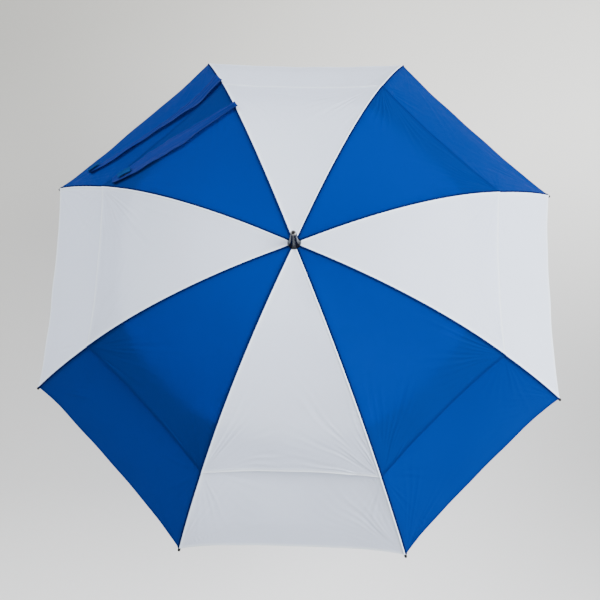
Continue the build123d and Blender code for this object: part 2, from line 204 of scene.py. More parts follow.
def recalculate_normals(obj):
    """Turns every face of a closed mesh outward."""
    mesh = bmesh.new()
    mesh.from_mesh(obj.data)
    bmesh.ops.recalc_face_normals(mesh, faces=mesh.faces)
    mesh.to_mesh(obj.data)
    mesh.free()


def lathe(name, profile, segments=96, centre_z=0.0, sharp=40):
    """A closed profile of (radius, height) turned about the shaft."""
    count = len(profile)
    turns = np.arange(segments) * 2 * math.pi / segments
    r = np.array([p[0] for p in profile])
    z = np.array([p[1] for p in profile]) + centre_z
    points = np.stack(
        [
            np.outer(np.cos(turns), r),
            np.outer(np.sin(turns), r),
            np.tile(z, (segments, 1)),
        ],
        -1,
    ).reshape(-1, 3)
    faces = []
    for i in range(segments):
        j = (i + 1) % segments
        for k in range(count):
            q = (k + 1) % count
            faces.append((i * count + k, j * count + k, j * count + q, i * count + q))
    obj = make_object(name, points, faces, sharp=sharp)
    recalculate_normals(obj)
    return obj


# ---------------------------------------------------------------- folds and hems
random = np.random.default_rng(41)


def ripple(x, y, length, waves=6):
    """Smooth random relief of about unit height, from a few crossed waves."""
    total = np.zeros(np.broadcast(x, y).shape)
    for _ in range(waves):
        heading = random.uniform(0, math.pi)
        pace = 2 * math.pi / (length * random.uniform(0.7, 1.6))
        phase = random.uniform(0, 2 * math.pi)
        total = total + np.sin(pace * (x * math.cos(heading) + y * math.sin(heading)) + phase)
    return total / math.sqrt(waves)


def fan(from_seam, from_edge, reach, folds, height):
    """Tension folds that spread from a corner into the panel, sharp on top and broad below. folds
    is how many would fit in a full turn round the corner."""
    distance = np.hypot(from_seam, from_edge) + 1e-6
    angle = np.arctan2(from_edge, from_seam)
    swell = (distance / reach) * np.exp(1 - distance / reach)
    # The folds fade out at both edges, and are stronger by the hem than by the seam
    window = np.clip(np.sin(2 * angle), 0, 1) ** 0.4 * (0.45 + 0.55 * np.cos(angle) ** 2)
    wobble = random.uniform(0, 2 * math.pi) + 1.3 * ripple(from_seam, from_edge, 0.11)
    strength = np.clip(0.55 + 0.75 * ripple(angle, distance * 2, 0.4), 0.05, 1.6)
    crease = 2 * (0.5 + 0.5 * np.cos(folds * angle + wobble)) ** 2.4 - 0.7
    broad = np.cos(0.31 * folds * angle + 0.7 * wobble)
    return height * swell * window * strength * (crease + 0.55 * broad)


def pucker(from_seam, along, height, pitch):
    """Small gathers where a seam's thread draws the cloth in."""
    wobble = 1.4 * ripple(along, from_seam * 0, 0.05)
    patchy = np.clip(0.55 + 0.6 * ripple(along, from_seam * 0, 0.12), 0, 1.4)
    swell = (from_seam / GATHER_REACH) * np.exp(1 - from_seam / GATHER_REACH)
    return height * swell * patchy * np.cos(2 * math.pi * along / pitch + wobble)


def spaced(start, stop, step, fine):
    """Rows from start to stop, with extra ones at these distances before the stop."""
    coarse_end = stop - fine[-1] - step * 0.6
    count = max(2, int(round((coarse_end - start) / step)))
    rows = list(np.linspace(start, coarse_end, count + 1))
    return np.array(rows + [stop - f for f in reversed(fine)])


# Distances from a hemmed edge, enough for its bead, fold and stitched groove
HEM_ROWS = [0, 0.35 * MM, 1.0 * MM, 1.9 * MM, 3.2 * MM, 5.2 * MM, 6.5 * MM, 7.3 * MM, 8.1 * MM,
            9.0 * MM, 10.6 * MM]
INNER_STEP = 5.5 * MM
OUTER_STEP = 2.6 * MM
LOWER_STEP = 3.4 * MM
# Columns across a gore: close ones beside each seam and wider ones between them
SEAM_COLUMNS = 44
MIDDLE_COLUMNS = 33
SEAM_SHARE = 0.46  # of the half-width, beside each seam, that has close columns
BY_SEAM = 1 - SEAM_SHARE * np.linspace(0, 1, SEAM_COLUMNS + 1)[:-1] ** 1.15
# Where the columns are, as shares of the half-width
ACROSS = np.concatenate([-BY_SEAM, np.linspace(-1, 1, MIDDLE_COLUMNS) * (1 - SEAM_SHARE),
                         BY_SEAM[::-1]])
COLUMNS = len(ACROSS)


def bowed(radius, scallop, power):
    """A free edge that is this far out at the ribs and cut back by the scallop at its middle."""
    return radius - scallop * (1 - np.abs(ACROSS) ** power)


def rows(first, last, step, hem_first=False, hem_last=False):
    """Lines of r from one edge of a panel to the other, closer together in the hems."""
    length = float((last - first).max())
    at = spaced(0, length, step, HEM_ROWS if hem_last else [0])
    if hem_first:
        tail = length - spaced(0, length, step, HEM_ROWS)[::-1]
        at = np.concatenate([tail[tail < length / 2], at[at >= length / 2]])
    return first[None, :] + (last - first)[None, :] * (at / length)[:, None]


def cloth_grid(number, upper, r, fold_height, free_first):
    """Both faces of one gore's cloth, with hems, gathers at the seams and tension folds. The last
    row of r is a free edge, and with free_first the first row is one as well."""
    half = half_width(r, UPPER_LIFT if upper else LOWER_LIFT)
    u = ACROSS[None, :] * half
    from_seam = np.clip(half - np.abs(u), 0, None)
    arc = r / np.cos(rib_slope(r) * 0.5)
    to_end = (r[-1:] - r) / np.cos(rib_slope(r))
    to_first = (r - r[:1]) / np.cos(rib_slope(r))

    rise = RELIEF * ripple(u + number, arc, 0.16) * np.clip(from_seam / 0.03, 0, 1)
    for side in (-1, 1):
        edge = np.clip(half - side * u, 0, None)
        near = np.clip(from_seam / (2 * MM), 0, 1) * (side * u > 0)
        rise = rise + near * pucker(edge, arc, GATHER_HEIGHT, GATHER_PITCH)
        blend_in = np.clip(0.5 + side * u / (0.5 * half + 1e-6), 0, 1)
        rise = rise + blend_in * fan(edge, to_end, HEM_REACH, HEM_FAN, fold_height)
        if free_first:
            below_vent = np.clip(r - VENT_R, 0, None)
            folds = fan(edge, below_vent, VENT_REACH, VENT_FAN, fold_height)
            rise = rise + VENT_SHARE * blend_in * folds
    sway = SWAY * np.cos(2 * math.pi * u / 0.12 + number) * (1 - ACROSS[None, :] ** 4)
    rise = rise + sway * np.exp(-to_end / 0.03)

    # Sewing: thread is the distance from the nearest free edge
    thread = to_end if not free_first else np.minimum(to_end, to_first)
    folded = np.clip((HEM_WIDTH - thread) / (0.9 * MM), 0, 1)
    away_from_crown = np.clip(r / 0.1 - 0.2, 0, 1)
    seam_fold = np.clip((SEAM_WIDTH - from_seam) / (0.8 * MM), 0, 1) * away_from_crown
    line = np.clip((HEM_FOLD - thread) / (0.6 * MM), 0, 1)
    hem = np.maximum(0.35 * folded + 0.65 * line, 0.35 * seam_fold)
    groove = np.exp(-(((thread - STITCH_ROW) / (0.5 * MM)) ** 2))
    bead = np.exp(-(((thread - 0.9 * MM) / (0.9 * MM)) ** 2)) * folded
    over = CLOTH / 2 + 0.35 * MM * folded + 0.7 * MM * bead - 0.25 * MM * groove
    under = CLOTH / 2 + 0.25 * MM * folded + 0.3 * MM * bead
    return {
        "top": gore_point(number, r, u, upper, rise + over),
        "bottom": gore_point(number, r, u, upper, rise - under),
        "uv": np.stack([u, arc], -1),
        "hem": hem,
        "from_edge": thread,
        "from_seam": from_seam,
        "r": r,
        "u": u,
    }


def cloth_piece(name, grid, first, last):
    """A named piece from some of the grid's rows, with its flat width, length and area."""
    part = {key: value[first:last] for key, value in grid.items()}
    values = {key: part[key] for key in ("hem", "from_edge", "from_seam")}
    obj = shell(name, part["top"], part["bottom"], part["uv"], values)
    r, u = part["r"], part["u"]
    stretch = 1 / np.cos(rib_slope(r))
    wide = float((u[:, -1] - u[:, 0]).max())
    long = float(((r[-1] - r[0]) * stretch.mean(axis=0)).max())
    area = float((np.gradient(r, axis=0) * stretch * np.gradient(u, axis=1)).sum())
    return obj, (wide, long), area


# ---------------------------------------------------------------- materials
class Nodes:
    """Short calls for building a material's node tree."""

    def __init__(self, name):
        self.material = bpy.data.materials.new(name)
        self.material.use_nodes = True
        self.tree = self.material.node_tree
        self.tree.nodes.clear()
        self.out = self.tree.nodes.new("ShaderNodeOutputMaterial")

    def add(self, kind, inputs=None, **settings):
        node = self.tree.nodes.new("ShaderNode" + kind)
        for key, value in settings.items():
            setattr(node, key, value)
        for key, value in (inputs or {}).items():
            socket = node.inputs[key]
            if isinstance(value, bpy.types.NodeSocket):
                self.tree.links.new(value, socket)
            else:
                socket.default_value = value
        return node

    def math(self, operation, a, b=0.0):
        return self.add("Math", {0: a, 1: b}, operation=operation).outputs[0]

    def mix(self, factor, a, b, blend="MIX"):
        node = self.add("Mix", data_type="RGBA", blend_type=blend)
        for socket, value in ((0, factor), (6, a), (7, b)):
            if isinstance(value, bpy.types.NodeSocket):
                self.tree.links.new(value, node.inputs[socket])
            else:
                node.inputs[socket].default_value = value
        return node.outputs[2]

    def ramp(self, value, low, high, to_low=0.0, to_high=1.0):
        limits = {0: value, 1: low, 2: high, 3: to_low, 4: to_high}
        return self.add("MapRange", limits).outputs[0]

    def noise(self, coordinates, scale, detail=3.0, roughness=0.5):
        return self.add(
            "TexNoise",
            {"Vector": coordinates, "Scale": scale, "Detail": detail, "Roughness": roughness},
        ).outputs["Fac"]

    def attribute(self, name):
        return self.add("Attribute", attribute_name=name).outputs["Fac"]

    def bump(self, height, strength, distance, normal=None):
        inputs = {"Height": height, "Strength": strength, "Distance": distance}
        if normal is not None:
            inputs["Normal"] = normal
        return self.add("Bump", inputs).outputs["Normal"]

    def finish(self, shader):
        self.tree.links.new(shader.outputs[0], self.out.inputs["Surface"])
        return self.material


def rgba(r, g, b):
    """An opaque colour."""
    return (r, g, b, 1.0)


def fabric(name, colour, light, dark, edge, through, glow, gloss):
    """Plain-woven polyester: its colour, that of paler cloth, of darker threads and of turned
    edges, then the share of light that goes through and its colour, and the gloss. The dark colour
    also gives the painted shade beside the seams and at free edges. The edge colour also gives
    painted shade beside the seams of the blue cloth, painted light beside those of the white, and
    painted shade along a strap's rolled edge."""
    n = Nodes(name)
    # The dark colour, darkened further, for the painted shade at free edges.
    shade = tuple(0.45 * part for part in dark[:3]) + (1.0,)
    uv = n.add("UVMap", uv_map="cloth").outputs[0]
    place = n.add("TexCoord").outputs["Object"]
    parts = n.add("SeparateXYZ", {0: uv})
    threads = 2 * math.pi / WEAVE
    warp = n.math("SINE", n.math("MULTIPLY", parts.outputs[0], threads))
    weft = n.math("SINE", n.math("MULTIPLY", parts.outputs[1], threads))
    weave = n.math("MULTIPLY", warp, weft)
    broad = n.noise(place, 5.0, 2.0)
    drawn_out = n.add("Mapping", {"Vector": uv, "Scale": (900.0, 60.0, 1.0)}).outputs[0]
    slub = n.noise(drawn_out, 1.0, 2.0)
    tint = n.mix(n.ramp(weave, -1, 1, 0.0, 0.25), colour, dark)
    tint = n.mix(n.ramp(slub, 0.35, 0.7, 0.0, 0.12), tint, dark)
    tint = n.mix(n.ramp(broad, 0.3, 0.7, 0.0, 0.14), tint, light)
    hem = n.attribute("hem")
    tint = n.mix(n.math("MULTIPLY", hem, 0.85), tint, edge)
    from_seam = n.attribute("from_seam")
    # Painted shade: the cloth darkens toward each seam, fading out 22 mm from it.
    tint = n.mix(n.ramp(from_seam, 0.0, 0.022, 0.14, 0.0), tint, dark)
    # Painted shade beside the seams of the blue cloth and painted light beside those of the white:
    # the edge colour is mixed in from 2 to 12 mm from each seam.
    tint = n.mix(n.ramp(from_seam, 2.0 * MM, 12.0 * MM, 0.6, 0.0), tint, edge)
    from_edge = n.attribute("from_edge")
    # Painted shade on the outermost 1.5 mm of each free edge.
    tint = n.mix(n.ramp(from_edge, 0.3 * MM, 1.5 * MM, 0.8, 0.0), tint, shade)
    row = n.math("SUBTRACT", from_edge, STITCH_ROW)
    on_row = n.math("LESS_THAN", n.math("ABSOLUTE", row), 0.35 * MM)
    dash = n.math("SINE", n.math("MULTIPLY", parts.outputs[0], 2 * math.pi / STITCH_LENGTH))
    stitch = n.math("MULTIPLY", on_row, n.math("GREATER_THAN", dash, -0.35))
    tint = n.mix(n.math("MULTIPLY", stitch, 0.5), tint, dark)
    rough = n.ramp(n.noise(place, 60.0, 3.0), 0.3, 0.7, 0.52, 0.66)
    fine = n.bump(weave, 0.25, 0.06 * MM)
    soft = n.bump(n.noise(place, 38.0, 4.0), 0.3, 0.7 * MM, fine)
    raised = n.bump(stitch, 0.6, 0.3 * MM, soft)
    cloth = n.add(
        "BsdfPrincipled",
        {
            "Base Color": tint,
            "Roughness": rough,
            "Normal": raised,
            "Specular IOR Level": gloss,
        },
    )
    lit = n.add("BsdfTranslucent", {"Color": glow, "Normal": soft})
    return n.finish(n.add("MixShader", {0: through, 1: cloth.outputs[0], 2: lit.outputs[0]}))


def plastic(name, colour, worn, rough, gloss, grain=900.0, depth=0.05 * MM):
    """Moulded plastic or dull woven tape with a fine grain, from rough[0] to rough[1] rough."""
    n = Nodes(name)
    place = n.add("TexCoord").outputs["Object"]
    cloud = n.noise(place, 45.0, 4.0, 0.6)
    tint = n.mix(n.ramp(cloud, 0.42, 0.7, 0.0, 0.6), colour, worn)
    roughness = n.ramp(n.noise(place, 130.0, 3.0), 0.3, 0.7, rough[0], rough[1])
    normal = n.bump(n.noise(place, grain, 3.0), 0.35, depth)
    return n.finish(
        n.add(
            "BsdfPrincipled",
            {
                "Base Color": tint,
                "Roughness": roughness,
                "Normal": normal,
                "Specular IOR Level": gloss,
            },
        )
    )


def rod(name, colour, streak, rough):
    """Drawn glass-fibre rod or painted tube: fine lengthwise streaks under a thin gloss."""
    n = Nodes(name)
    place = n.add("TexCoord").outputs["Object"]
    cloud = n.noise(place, 20.0, 3.0)
    fine = n.noise(place, 700.0, 2.0)
    tint = n.mix(n.ramp(fine, 0.35, 0.75, 0.0, 0.5), colour, streak)
    tint = n.mix(n.ramp(cloud, 0.5, 0.8, 0.0, 0.3), tint, streak)
    roughness = n.ramp(n.noise(place, 90.0, 3.0), 0.3, 0.7, rough - 0.06, rough + 0.1)
    normal = n.bump(fine, 0.2, 0.04 * MM)
    return n.finish(
        n.add(
            "BsdfPrincipled",
            {"Base Color": tint, "Roughness": roughness, "Normal": normal, "Coat Weight": 0.3},
        )
    )


def metal(name, colour, stain, rough):
    """Zinc-plated or brushed steel."""
    n = Nodes(name)
    place = n.add("TexCoord").outputs["Object"]
    turned = n.add("Mapping", {"Vector": place, "Scale": (60.0, 60.0, 2500.0)}).outputs[0]
    lines = n.noise(turned, 1.0, 4.0)
    tint = n.mix(n.ramp(n.noise(place, 80.0, 3.0), 0.4, 0.75, 0.0, 0.5), colour, stain)
    roughness = n.ramp(lines, 0.3, 0.7, rough - 0.08, rough + 0.12)
    normal = n.bump(lines, 0.15, 0.03 * MM)
    return n.finish(
        n.add(
            "BsdfPrincipled",
            {"Base Color": tint, "Metallic": 1.0, "Roughness": roughness, "Normal": normal},
        )
    )


def foam():
    """Closed-cell foam: matt, with small open pores painted darker as shade in them, and rubbed
    ridges.
    """
    n = Nodes("grip_foam")
    place = n.add("TexCoord").outputs["Object"]
    cells = n.add("TexVoronoi", {"Vector": place, "Scale": 1400.0}).outputs["Distance"]
    pores = n.ramp(cells, 0.1, 0.45, 0.0, 1.0)
    cloud = n.noise(place, 30.0, 4.0)
    # Painted shade: the pores are darker than the foam round them.
    tint = n.mix(pores, rgba(0.004, 0.004, 0.004), rgba(0.016, 0.016, 0.017))
    tint = n.mix(n.ramp(cloud, 0.45, 0.75, 0.0, 0.5), tint, rgba(0.035, 0.035, 0.036))
    rough = n.ramp(cloud, 0.3, 0.7, 0.78, 0.92)
    normal = n.bump(n.noise(place, 55.0, 3.0), 0.3, 0.4 * MM, n.bump(pores, 0.5, 0.12 * MM))
    return n.finish(
        n.add(
            "BsdfPrincipled",
            {"Base Color": tint, "Roughness": rough, "Normal": normal, "Specular IOR Level": 0.3},
        )
    )


BLUE = fabric(
    "canopy_blue",
    colour=rgba(0.0, 0.034, 0.215),
    light=rgba(0.0002, 0.042, 0.25),
    dark=rgba(0.0, 0.022, 0.16),
    edge=rgba(0.0002, 0.02, 0.135),
    through=0.45,
    glow=rgba(0.0, 0.17, 0.68),
    gloss=0.03,
)
# A darker copy of the blue cloth for the lower panels, which is painted shade.
BLUE_SHADED = fabric(
    "canopy_blue_painted_shade",
    colour=rgba(0.0, 0.0295, 0.196),
    light=rgba(0.0002, 0.036, 0.222),
    dark=rgba(0.0, 0.0185, 0.135),
    edge=rgba(0.0002, 0.017, 0.12),
    through=0.36,
    glow=rgba(0.0, 0.155, 0.63),
    gloss=0.03,
)
BLUE_STRAP = fabric(
    "strap_blue",
    colour=rgba(0.0035, 0.021, 0.17),
    light=rgba(0.005, 0.028, 0.21),
    dark=rgba(0.0012, 0.012, 0.1),
    # The edge colour is the painted shade along the strap's rolled edge.
    edge=rgba(0.0008, 0.008, 0.06),
    through=0.1,
    glow=rgba(0.0, 0.08, 0.36),
    gloss=0.05,
)
WHITE = fabric(
    "canopy_white",
    colour=rgba(0.715, 0.775, 0.91),
    light=rgba(0.76, 0.815, 0.95),
    dark=rgba(0.64, 0.7, 0.85),
    edge=rgba(0.87, 0.93, 1.0),
    through=0.32,
    glow=rgba(0.93, 0.96, 1.0),
    gloss=0.12,
)
PIPING = plastic(
    "piping_blue", rgba(0.0, 0.007, 0.062), rgba(0.0, 0.011, 0.09), rough=(0.8, 0.9), gloss=0.04
)
TAPE = plastic(
    "turned_edge", rgba(0.79, 0.88, 1.0), rgba(0.75, 0.84, 0.98), rough=(0.75, 0.9), gloss=0.1
)
BLACK = plastic(
    "black_plastic",
    rgba(0.008, 0.008, 0.009),
    rgba(0.02, 0.02, 0.021),
    rough=(0.38, 0.55),
    gloss=0.25,
)
GLOSS = plastic(
    "gloss_black",
    rgba(0.004, 0.004, 0.005),
    rgba(0.008, 0.008, 0.009),
    rough=(0.16, 0.3),
    gloss=0.13,
    grain=600.0,
    depth=0.02 * MM,
)
RIB = rod("rib_fibreglass", rgba(0.012, 0.012, 0.013), rgba(0.05, 0.05, 0.052), rough=0.36)
PAINT = rod("shaft_paint", rgba(0.016, 0.016, 0.018), rgba(0.035, 0.035, 0.038), rough=0.28)
CAP = plastic(
    "tip_black", rgba(0.004, 0.004, 0.004), rgba(0.01, 0.01, 0.01), rough=(0.5, 0.65), gloss=0.12
)
STEEL = metal("steel", rgba(0.2, 0.2, 0.2), rgba(0.11, 0.105, 0.1), rough=0.36)
FOAM = foam()
HOOK = plastic(
    "hook_tape",
    rgba(0.001, 0.027, 0.12),
    rgba(0.002, 0.04, 0.16),
    rough=(0.8, 0.9),
    gloss=0.04,
    grain=1600.0,
    depth=0.3 * MM,
)


def paint(obj, material):
    """Gives an object this one material."""
    obj.data.materials.clear()
    obj.data.materials.append(material)


# Finish of the CAD nodes that stay in view
NODE_FINISH = {
    "shaft": PAINT,
    "crown": BLACK,
    "runner": BLACK,
    "ferrule_cap": GLOSS,
    "ferrule_tip": STEEL,
    "butt_cap": GLOSS,
    "crown_wire": STEEL,
    "runner_wire": STEEL,
    "top_latch": STEEL,
    "bottom_latch": STEEL,
}
for node_name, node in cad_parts.items():
    family = node_name.rstrip("0123456789").rstrip("_")
    if node_name in NODE_FINISH:
        paint(node, NODE_FINISH[node_name])
    elif family in ("rib_inner", "rib_outer", "stretcher"):
        paint(node, RIB)
    elif family == "rib_tip":
        paint(node, CAP)

# ---------------------------------------------------------------- canopy
LEVEL = np.zeros(COLUMNS)
KNEE_LINE = LEVEL + KNEE_R
inner_rows = rows(LEVEL + NECK_R, KNEE_LINE, INNER_STEP)
outer_rows = rows(KNEE_LINE, bowed(VENT_R, VENT_SCALLOP, BOW), OUTER_STEP, hem_last=True)
upper_rows = np.vstack([inner_rows, outer_rows[1:]])
lower_rows = rows(
    bowed(HIDDEN_R, HIDDEN_SCALLOP, BOW),
    bowed(RIM_R, RIM_SCALLOP, RIM_BOW),
    LOWER_STEP,
    hem_first=True,
    hem_last=True,
)
knee_row = len(inner_rows) - 1
for gore in range(1, RIBS + 1):
    colour = WHITE if gore % 2 else BLUE
    upper_grid = cloth_grid(gore, True, upper_rows, UPPER_FOLDS, free_first=False)
    lower_grid = cloth_grid(gore, False, lower_rows, LOWER_FOLDS, free_first=True)
    for name, grid, first, last, body, node, rib_name, keep in (
        ("upper_inner", upper_grid, 0, knee_row + 1, "gore", "upper_gore", "rib_inner", UPPER_KEEP),
        ("upper_outer", upper_grid, knee_row, None, "skirt", "upper_gore", "rib_outer", UPPER_KEEP),
        ("lower", lower_grid, 0, None, "skirt", "lower_gore", "rib_outer", LOWER_KEEP),
    ):
        cloth, flat, area = cloth_piece(f"{name}_{gore}", grid, first, last)
        # The blue lower panels take the darker copy of the blue cloth: painted shade.
        paint(cloth, BLUE_SHADED if name == "lower" and colour == BLUE else colour)
        fold_with_gore(cloth, body, gore)
        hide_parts(f"{node}_{gore}")

# ---------------------------------------------------------------- seams along the ribs
# Section of a ridge: across it as a share of its half-width, and up as a share of its height
RIDGE = ((-1, -0.4), (1, -0.4), (1, 0.3), (0.72, 0.76), (0.27, 0.98), (-0.27, 0.98),
         (-0.72, 0.76), (-1, 0.3))
# Each seam is a pale turned edge on the white cloth and a dark cord on the blue: offset, half-width
# and height in millimetres
TURNED_EDGE = (-1.6, 1.6, 0.8)
CORD_EDGE = (2.2, 2.2, 0.95)
SEAM_STEP = 4 * MM
SEAM_START = 15 * MM
SEAM_END = RIM_R - 1 * MM
SEAM_GATHER = 5.5 * MM  # pitch of the small bulges along a ridge
SEAM_RISE = 0.3 * MM


def ridge_points(number, r, lift, offset, half, height):
    """Rings of points round a ridge that runs along a rib's seam."""
    azimuth = HALF * (2 * number - 1)
    side = 1 if number % 2 else -1
    slope = rib_slope(r)
    radius, z = rib_curve(r, lift)
    gathers = 1 + 0.1 * np.sin(2 * math.pi * r / SEAM_GATHER)
    rings = []
    for a, h in RIDGE:
        over = (a * half * gathers + offset) * side * MM
        out = h * height * MM * (gathers if h > 0 else 1) + SEAM_RISE
        d = radius + np.sin(slope) * out
        ca, sa = math.cos(azimuth), math.sin(azimuth)
        up = z + np.cos(slope) * out
        rings.append(np.stack([d * ca - over * sa, d * sa + over * ca, up], -1))
    return np.stack(rings, 1)


def seam(name, number, r_from, r_to, lift, body):
    """The felled seam over a rib, as two ridges side by side."""
    steps = int((r_to - r_from) / SEAM_STEP)
    r = np.linspace(r_from, r_to, steps + 1)
    count = len(RIDGE)
    points, faces = [], []
    for offset, half, height in (TURNED_EDGE, CORD_EDGE):
        base = len(points) * (steps + 1) * count
        points.append(ridge_points(number, r, lift, offset, half, height).reshape(-1, 3))
        for i in range(steps):
            for k in range(count):
                q = (k + 1) % count
                ring = (i * count + k, i * count + q, (i + 1) * count + q, (i + 1) * count + k)
                faces.append(tuple(base + x for x in ring))
        faces.append(tuple(base + k for k in reversed(range(count))))
        faces.append(tuple(base + steps * count + k for k in range(count)))
    obj = make_object(name, np.concatenate(points), faces, sharp=60)
    paint(obj, TAPE)
    obj.data.materials.append(PIPING)
    per_ridge = len(faces) // 2
    obj.data.polygons.foreach_set("material_index", [0] * per_ridge + [1] * per_ridge)
    recalculate_normals(obj)
    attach(obj, body)


for rib in range(1, RIBS + 1):
    seam(f"seam_inner_{rib}", rib, SEAM_START, KNEE_R, UPPER_LIFT, f"rib_inner_{rib}")
    seam(f"seam_outer_{rib}", rib, KNEE_R, VENT_R, UPPER_LIFT, f"rib_outer_{rib}")
    seam(f"seam_rim_{rib}", rib, VENT_R, SEAM_END, LOWER_LIFT, f"rib_outer_{rib}")

# ---------------------------------------------------------------- closure straps
STRAP_GORE = 4
STRAP_LENGTH = 0.36  # of a strap between the two, for the spacing of the folds in both
STRAP_CLOTH = 0.6 * MM
# How high a strap lies over the canopy, and the height of each kind of fold in it, in millimetres
STRAP_LIE = 2.8
ROLLED_EDGE = 5.4
RUFFLE = 1.3
GATHER = 0.7
TUCK = 0.8
FANNED_FOLD = 2.2
LONG_FOLD = 1.5
EDGE_DROP = 1.2
LEAST_RISE = 1.4


def smooth_line(points, count):
    """count points of (r, u) along a rounded line through these, in millimetres."""
    given = np.array(points, float) * MM
    length = np.concatenate([[0], np.cumsum(np.hypot(*np.diff(given, axis=0).T))])
    at = np.linspace(0, length[-1], count)
    line = np.stack([np.interp(at, length, given[:, k]) for k in range(2)], -1)
    for _ in range(count // 3):
        line[1:-1] = (line[:-2] + 2 * line[1:-1] + line[2:]) / 4
    return line


def strap_shape(near, far, s, t):
    """r, u, rise and width of a strap's cloth, with s along it from its sewn end and t across."""
    low, high = smooth_line(near, len(s)), smooth_line(far, len(s))
    line = low[:, None, :] * (1 - t[..., None]) + high[:, None, :] * t[..., None]
    wide = np.hypot(*(low - high).T)[:, None]
    far_along = s * STRAP_LENGTH
    ruffle = ripple(far_along, t * 0.02, 0.055) * np.exp(-t / 0.22)
    gather = ripple(far_along, t * 0, 0.016) * np.exp(-(((t - 0.2) / 0.14) ** 2))
    tucks = ripple(far_along, t * 0, 0.022) * np.exp(-(1 - t) / 0.2)
    fanned = np.sin(2 * math.pi * (4.2 * t + 0.8 * s)) * np.exp(-s / 0.28) * np.sin(math.pi * t)
    long_fold = np.cos(2 * math.pi * (t * (1.4 - 0.6 * s) + 0.15 * ripple(far_along, t * 0, 0.2)))
    rise = (
        STRAP_LIE
        + ROLLED_EDGE * np.exp(-t / 0.18)
        + RUFFLE * ruffle
        + GATHER * gather
        + TUCK * tucks
        + FANNED_FOLD * fanned
        + LONG_FOLD * long_fold * np.sin(math.pi * t)
    )
    lip = np.exp(-((t / 0.05) ** 2))
    r = line[..., 0] - 0.8 * MM * ripple(far_along, t * 0, 0.075) * np.exp(-t / 0.2)
    return r, line[..., 1], np.maximum(rise - EDGE_DROP * lip, LEAST_RISE) * MM, wide


def strap(name, near, far, upper):
    """A gathered strap across the gore. near and far are its two edges, as (r, u) in millimetres."""
    s = np.linspace(0, 1, 161)[:, None]
    t = np.linspace(0, 1, 33)[None, :]
    r, u, rise, wide = strap_shape(near, far, s, t)
    edge = np.minimum(t, 1 - t) * wide
    hem = np.clip((6.0 * MM - edge) / (0.8 * MM), 0, 1)
    groove = np.exp(-(((edge - 6.2 * MM) / (0.9 * MM)) ** 2))
    over = STRAP_CLOTH / 2 + 0.4 * MM * hem - 0.3 * MM * groove
    top = gore_point(STRAP_GORE, r, u, upper, rise + over)
    bottom = gore_point(STRAP_GORE, r, u, upper, rise - STRAP_CLOTH / 2)
    # Painted shade: a 3 mm band along the strap's rolled edge takes the dark edge colour, through
    # its hem value.
    turned = np.clip((3.0 * MM - t * wide) / (0.8 * MM), 0, 1) + 0 * s
    values = {"hem": turned, "from_edge": edge + 2 * MM, "from_seam": edge * 0 + 1}
    obj = shell(name, top, bottom, np.stack([u, r], -1), values)
    paint(obj, BLUE_STRAP)
    fold_with_gore(obj, "skirt", STRAP_GORE)
    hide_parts("closure_straps")


HOOK_SIZE = (34, 20)


def hook_patch(strap_name, centre, along, upper, rise):
    """A rectangle of hook tape sewn on a strap's free end. centre and along are (r, u), and rise is
    its height over the canopy, in millimetres."""
    length, width = HOOK_SIZE
    heading = np.array(along, float) / np.hypot(*along)
    turned = np.array([heading[1], -heading[0]])
    a = np.linspace(-0.5, 0.5, 25)[:, None] * length
    b = np.linspace(-0.5, 0.5, 15)[None, :] * width
    drop = math.cos(float(rib_slope(centre[0] * MM)))  # a step along the rib, seen from above
    r = (centre[0] + (a * heading[0] + b * turned[0]) * drop) * MM
    u = (centre[1] + a * heading[1] + b * turned[1]) * MM
    edge = np.minimum(length / 2 - np.abs(a), width / 2 - np.abs(b)) * MM
    stitch = np.exp(-(((edge - 2.0 * MM) / (0.6 * MM)) ** 2))
    wave = 0.5 * MM * ripple(a * MM, b * MM, 0.03)
    top = gore_point(STRAP_GORE, r, u, upper, rise * MM + wave + 0.9 * MM - 0.45 * MM * stitch)
    bottom = gore_point(STRAP_GORE, r, u, upper, rise * MM + wave - 0.5 * MM)
    obj = shell(f"hook_{strap_name}", top, bottom, np.stack([u, r], -1))
    paint(obj, HOOK)
    fold_with_gore(obj, "skirt", STRAP_GORE)


strap(
    "strap_rim",
    ((497, -196), (500, -160), (503, -118), (541, -17), (556, 51), (570, 140), (588, 176)),
    ((552, -209), (545, -150), (553, -83), (569, -10), (580, 60), (596, 130), (618, 176)),
    False,
)
strap(
    "strap_vent",
    ((366, -148), (378, -115), (395, -44), (398, 0), (414, 44), (433, 122), (456, 170)),
    ((392, -156), (410, -113), (436, -46), (455, 0), (466, 50), (474, 110), (484, 160)),
    True,
)

hook_patch("vent", (463, 132), (12, 30), True, rise=7.5)
hook_patch("rim", (608, 158), (18, 46), False, rise=6.5)

# ---------------------------------------------------------------- grip and ferrule
grip_low, grip_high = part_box("grip")
shaft_low, shaft_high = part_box("shaft")
GRIP_R = (grip_high.x - grip_low.x) / 2
SHAFT_R = (shaft_high.x - shaft_low.x) / 2
bottom_z, top_z = grip_low.z, grip_high.z
FOOT_ROUND = 1.2 * MM
SHOULDER = top_z - 17 * MM
SHOULDER_HEIGHT = 16.6 * MM
NOSE_WALL = 3.5 * MM
WAIST = 0.9 * MM
GROOVE_FROM = bottom_z + 62 * MM
GROOVE_TO = SHOULDER - 4 * MM
GROOVE_PITCH = 9.5 * MM
GROOVE_DEPTH = 1.3 * MM


